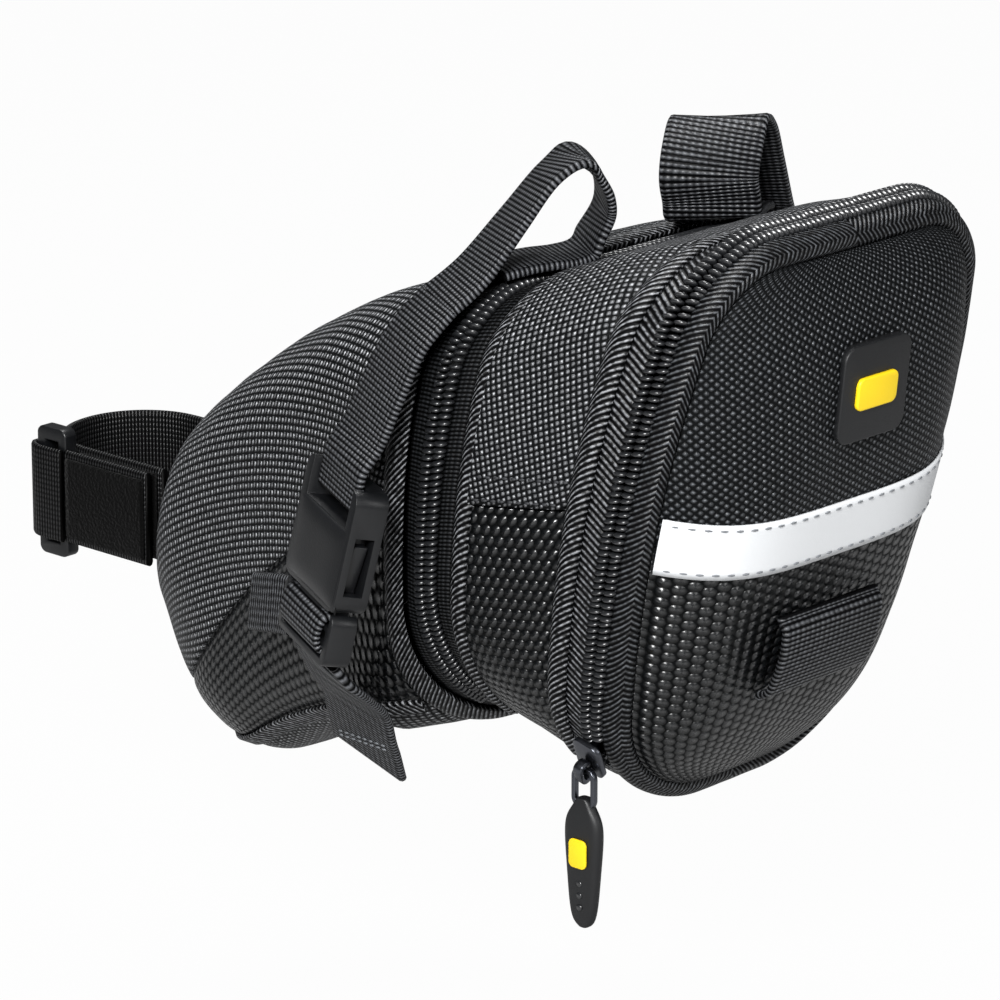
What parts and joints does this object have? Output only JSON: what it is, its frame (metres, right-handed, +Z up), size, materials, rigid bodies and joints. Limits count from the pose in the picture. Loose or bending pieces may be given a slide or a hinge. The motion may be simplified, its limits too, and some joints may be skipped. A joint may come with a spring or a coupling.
{
  "type": "saddle bag",
  "caption": "Expandable wedge saddle bag with a zipped clamshell lid, rail straps with side-release buckles, a seatpost strap and a reflective strip.",
  "frame": {"origin": "midway between the two saddle rails, at the height where the rail straps pass over them", "axes": "+Y forward to the seatpost, +Z up, +X to the right for a rider facing forward; the lid faces -Y"},
  "size_m": [0.1508, 0.2256, 0.1522],
  "materials": {
    "woven_fabric": "matte basket weave",
    "embossed_vinyl": "semi-matte with small raised dots",
    "twill_tape": "matte twill",
    "nylon_coil": "glossy",
    "webbing": "matte ribbed",
    "acetal": "satin",
    "dark_metal": "black plated",
    "soft_rubber": "matte",
    "yellow_inlay": "matte",
    "reflective_tape": "silver, satin"
  },
  "bodies": {
    "front_section": {"front_upper_panel": "woven_fabric", "front_side_left": "embossed_vinyl", "front_side_right": "embossed_vinyl", "front_base_panel": "twill_tape", "nose_panel": "woven_fabric", "front_rim_binding": "twill_tape", "base_stiffener": "acetal", "expansion_tape_front": "twill_tape", "expansion_coil_front": "nylon_coil", "expansion_gusset": "twill_tape", "left_rail_strap": "webbing", "right_rail_strap": "webbing", "left_strap_end": "webbing", "right_strap_end": "webbing", "left_lower_strap": "webbing", "right_lower_strap": "webbing", "left_strap_tail": "webbing", "right_strap_tail": "webbing", "left_buckle_plug": "acetal", "right_buckle_plug": "acetal", "seatpost_wrap": "webbing", "seatpost_anchor": "webbing", "seatpost_ring": "acetal", "loop_patch": "webbing"},
    "left_socket": {"left_buckle_socket": "acetal"},
    "right_socket": {"right_buckle_socket": "acetal"},
    "left_front_prong": {"left_front_prong": "acetal"},
    "left_rear_prong": {"left_rear_prong": "acetal"},
    "right_front_prong": {"right_front_prong": "acetal"},
    "right_rear_prong": {"right_rear_prong": "acetal"},
    "seatpost_flap": {"seatpost_flap": "webbing", "hook_patch": "webbing"},
    "rear_section": {"sleeve_upper_panel": "woven_fabric", "sleeve_side_left": "embossed_vinyl", "sleeve_side_right": "embossed_vinyl", "sleeve_base_panel": "twill_tape", "expansion_tape_rear": "twill_tape", "expansion_coil_rear": "nylon_coil", "main_tape": "twill_tape", "main_coil_sleeve": "nylon_coil", "lid_foot_panel": "embossed_vinyl", "lid_foot_band": "twill_tape"},
    "rear_lid": {"lid_upper_panel": "woven_fabric", "lid_lower_panel": "embossed_vinyl", "lid_edge_band": "twill_tape", "main_coil_lid": "nylon_coil", "lid_stiffener": "twill_tape", "reflective_strip": "reflective_tape", "light_loop": "webbing", "rubber_patch": "soft_rubber", "patch_inlay": "yellow_inlay"},
    "main_slider": {"main_slider": "dark_metal", "slider_crown": "dark_metal"},
    "main_pull": {"pull_link": "dark_metal", "pull_grip": "soft_rubber", "pull_inlay": "yellow_inlay"},
    "expansion_slider": {"expansion_slider": "dark_metal", "expansion_crown": "dark_metal"},
    "expansion_pull": {"expansion_pull": "soft_rubber"}
  },
  "joints": [
    {"name": "expansion", "type": "slide", "parent": "front_section", "child": "rear_section", "axis": [0, -0.9848, -0.1736], "range_m": [0, 0.03], "deforming": ["expansion_gusset"]},
    {"name": "lid_hinge", "type": "hinge", "parent": "rear_section", "child": "rear_lid", "pos_m": [0, -0.02549, -0.11459], "axis": [1, 0, 0], "range_deg": [0, 80]},
    {"name": "main_zip", "type": "hinge", "parent": "rear_section", "child": "main_slider", "pos_m": [0.0018, -0.02139, -0.08528], "axis": [0, 0.9681, 0.2504], "range_deg": [0, 23]},
    {"name": "main_pull_swing", "type": "hinge", "parent": "main_slider", "child": "main_pull", "pos_m": [-0.03913, -0.01486, -0.11045], "axis": [0, 1, 0], "range_deg": [0, 130]},
    {"name": "expansion_zip", "type": "slide", "parent": "front_section", "child": "expansion_slider", "axis": [0.0904, -0.1729, 0.9808], "range_m": [0, 0.025]},
    {"name": "expansion_pull_swing", "type": "hinge", "parent": "expansion_slider", "child": "expansion_pull", "pos_m": [0.05551, 0.01685, -0.07408], "axis": [0, -1, 0], "range_deg": [0, 24]},
    {"name": "left_release", "type": "slide", "parent": "front_section", "child": "left_socket", "axis": [0.1611, -0.1481, 0.9758], "range_m": [0, 0.017], "deforming": ["left_strap_end"]},
    {"name": "left_front_press", "type": "hinge", "parent": "front_section", "child": "left_front_prong", "pos_m": [-0.06256, 0.03814, -0.07789], "axis": [0.8936, -0.3978, -0.2079], "range_deg": [0, 14], "stiffness_Nm_per_rad": 0.05},
    {"name": "left_rear_press", "type": "hinge", "parent": "front_section", "child": "left_rear_prong", "pos_m": [-0.06976, 0.02256, -0.07906], "axis": [0.8936, -0.3978, -0.2079], "range_deg": [-14, 0], "stiffness_Nm_per_rad": 0.05},
    {"name": "right_release", "type": "slide", "parent": "front_section", "child": "right_socket", "axis": [-0.1611, -0.1481, 0.9758], "range_m": [0, 0.017], "deforming": ["right_strap_end"]},
    {"name": "right_front_press", "type": "hinge", "parent": "front_section", "child": "right_front_prong", "pos_m": [0.06256, 0.03814, -0.07789], "axis": [0.8936, 0.3978, 0.2079], "range_deg": [0, 14], "stiffness_Nm_per_rad": 0.05},
    {"name": "right_rear_press", "type": "hinge", "parent": "front_section", "child": "right_rear_prong", "pos_m": [0.06976, 0.02256, -0.07906], "axis": [0.8936, 0.3978, 0.2079], "range_deg": [-14, 0], "stiffness_Nm_per_rad": 0.05},
    {"name": "flap_peel", "type": "hinge", "parent": "front_section", "child": "seatpost_flap", "pos_m": [-0.02205, 0.1532, -0.093], "axis": [0, 0, -1], "range_deg": [0, 110]}
  ],
  "couplings": [
    {"joint": "left_front_press", "follows": "left_release", "rad_per_m": 14},
    {"joint": "left_rear_press", "follows": "left_release", "rad_per_m": -14},
    {"joint": "right_front_press", "follows": "right_release", "rad_per_m": 14},
    {"joint": "right_rear_press", "follows": "right_release", "rad_per_m": -14}
  ]
}
